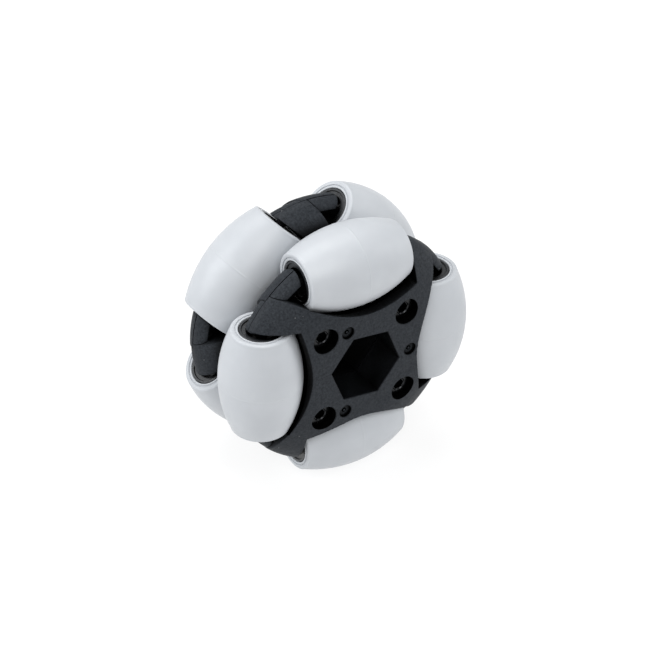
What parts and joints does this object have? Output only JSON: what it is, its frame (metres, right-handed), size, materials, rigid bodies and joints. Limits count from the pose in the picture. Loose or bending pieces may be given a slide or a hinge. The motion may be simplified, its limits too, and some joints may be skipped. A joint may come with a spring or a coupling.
{
  "type": "omni wheel",
  "caption": "Double-row omni wheel: black plastic hub with a hexagonal bore, and free-turning light grey barrel rollers set square to the wheel's own rolling direction.",
  "frame": {"origin": "the wheel's centre, on its axle, halfway between the two rows of rollers", "axes": "+Y along the axle from the front face to the rear face; +X and +Z in the wheel's plane, with front rollers centred on the X and Z axes"},
  "size_m": [0.0508, 0.0294, 0.0508],
  "materials": {
    "frame_plastic": "satin black-grey glass-filled nylon with a fine moulded speckle",
    "soft_tread": "smooth satin light grey overmoulded elastomer",
    "core_plastic": "satin dark grey moulded plastic",
    "pin_steel": "black-oxide ground dowel",
    "screw_steel": "black-oxide socket-head screw"
  },
  "bodies": {
    "frame": {"front_side_plate": "frame_plastic", "centre_frame": "frame_plastic", "rear_side_plate": "frame_plastic", "front_axle_pin_1": "pin_steel", "front_screw_1": "screw_steel", "front_axle_pin_2": "pin_steel", "front_screw_2": "screw_steel", "front_axle_pin_3": "pin_steel", "front_screw_3": "screw_steel", "front_axle_pin_4": "pin_steel", "front_screw_4": "screw_steel", "rear_axle_pin_1": "pin_steel", "rear_screw_1": "screw_steel", "rear_axle_pin_2": "pin_steel", "rear_screw_2": "screw_steel", "rear_axle_pin_3": "pin_steel", "rear_screw_3": "screw_steel", "rear_axle_pin_4": "pin_steel", "rear_screw_4": "screw_steel"},
    "front_roller_1": {"front_tread_1": "soft_tread", "front_core_1": "core_plastic"},
    "front_roller_2": {"front_tread_2": "soft_tread", "front_core_2": "core_plastic"},
    "front_roller_3": {"front_tread_3": "soft_tread", "front_core_3": "core_plastic"},
    "front_roller_4": {"front_tread_4": "soft_tread", "front_core_4": "core_plastic"},
    "rear_roller_1": {"rear_tread_1": "soft_tread", "rear_core_1": "core_plastic"},
    "rear_roller_2": {"rear_tread_2": "soft_tread", "rear_core_2": "core_plastic"},
    "rear_roller_3": {"rear_tread_3": "soft_tread", "rear_core_3": "core_plastic"},
    "rear_roller_4": {"rear_tread_4": "soft_tread", "rear_core_4": "core_plastic"}
  },
  "joints": [
    {"name": "front_roller_1_spin", "type": "hinge", "parent": "frame", "child": "front_roller_1", "pos_m": [0.01778, -0.00705, 0], "axis": [0, 0, 1], "continuous": true},
    {"name": "front_roller_2_spin", "type": "hinge", "parent": "frame", "child": "front_roller_2", "pos_m": [0, -0.00705, 0.01778], "axis": [-1, 0, 0], "continuous": true},
    {"name": "front_roller_3_spin", "type": "hinge", "parent": "frame", "child": "front_roller_3", "pos_m": [-0.01778, -0.00705, 0], "axis": [0, 0, -1], "continuous": true},
    {"name": "front_roller_4_spin", "type": "hinge", "parent": "frame", "child": "front_roller_4", "pos_m": [0, -0.00705, -0.01778], "axis": [1, 0, 0], "continuous": true},
    {"name": "rear_roller_1_spin", "type": "hinge", "parent": "frame", "child": "rear_roller_1", "pos_m": [0.01257, 0.00705, 0.01257], "axis": [-0.7071, 0, 0.7071], "continuous": true},
    {"name": "rear_roller_2_spin", "type": "hinge", "parent": "frame", "child": "rear_roller_2", "pos_m": [0.01257, 0.00705, -0.01257], "axis": [0.7071, 0, 0.7071], "continuous": true},
    {"name": "rear_roller_3_spin", "type": "hinge", "parent": "frame", "child": "rear_roller_3", "pos_m": [-0.01257, 0.00705, -0.01257], "axis": [0.7071, 0, -0.7071], "continuous": true},
    {"name": "rear_roller_4_spin", "type": "hinge", "parent": "frame", "child": "rear_roller_4", "pos_m": [-0.01257, 0.00705, 0.01257], "axis": [-0.7071, 0, -0.7071], "continuous": true}
  ]
}
